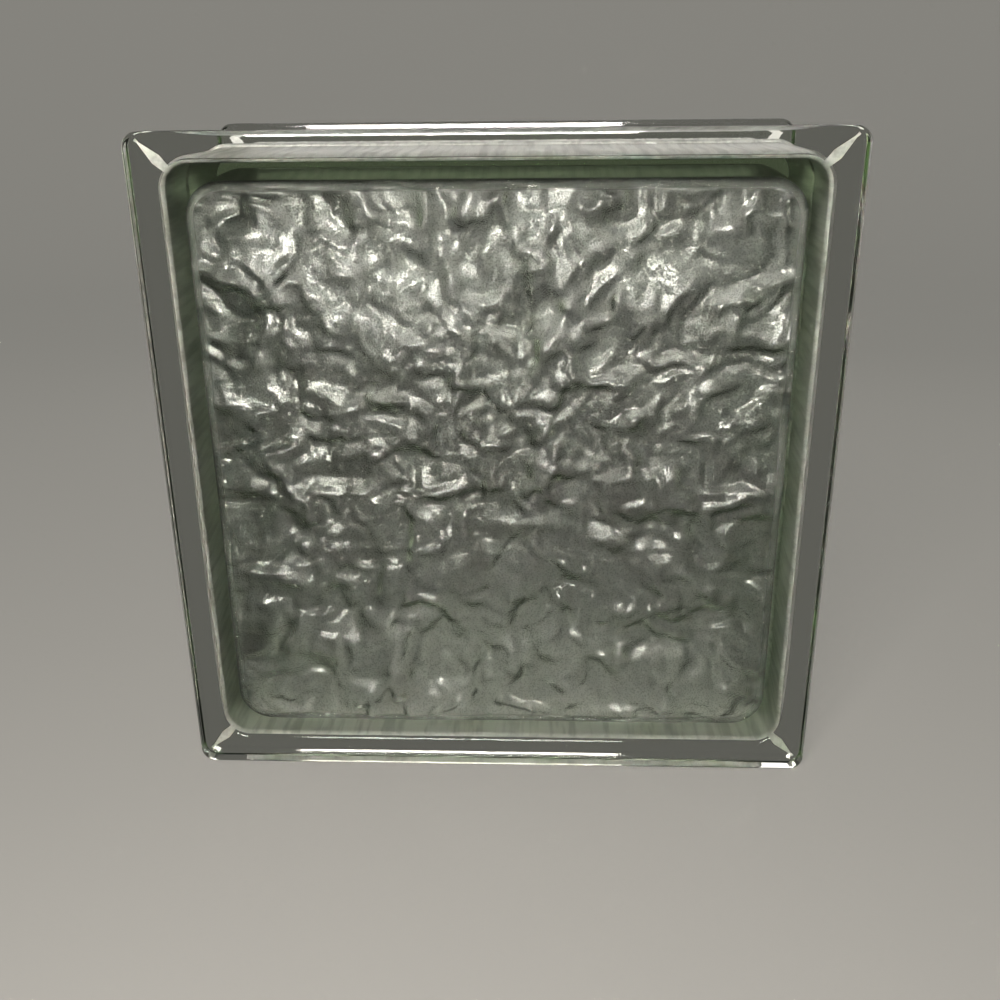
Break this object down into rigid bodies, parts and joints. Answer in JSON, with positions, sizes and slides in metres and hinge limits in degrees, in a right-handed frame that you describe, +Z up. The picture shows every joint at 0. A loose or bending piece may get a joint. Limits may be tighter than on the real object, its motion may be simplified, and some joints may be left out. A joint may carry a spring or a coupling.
{
  "type": "glass block",
  "caption": "Square hollow glass block with a crumpled-ice relief inside both faces, rimmed edges that key into mortar, and a fused seam.",
  "frame": {"origin": "middle of the underside, midway between the two rims that stand on the bed", "axes": "+X across the width, +Y from the front face to the back face through the thickness, +Z up"},
  "size_m": [0.1968, 0.0984, 0.1969],
  "materials": {
    "glass": "clear pressed glass with a faint grey-green tint, smooth outside and relief inside"
  },
  "bodies": {
    "root": {"glass_block": "glass"}
  },
  "joints": []
}
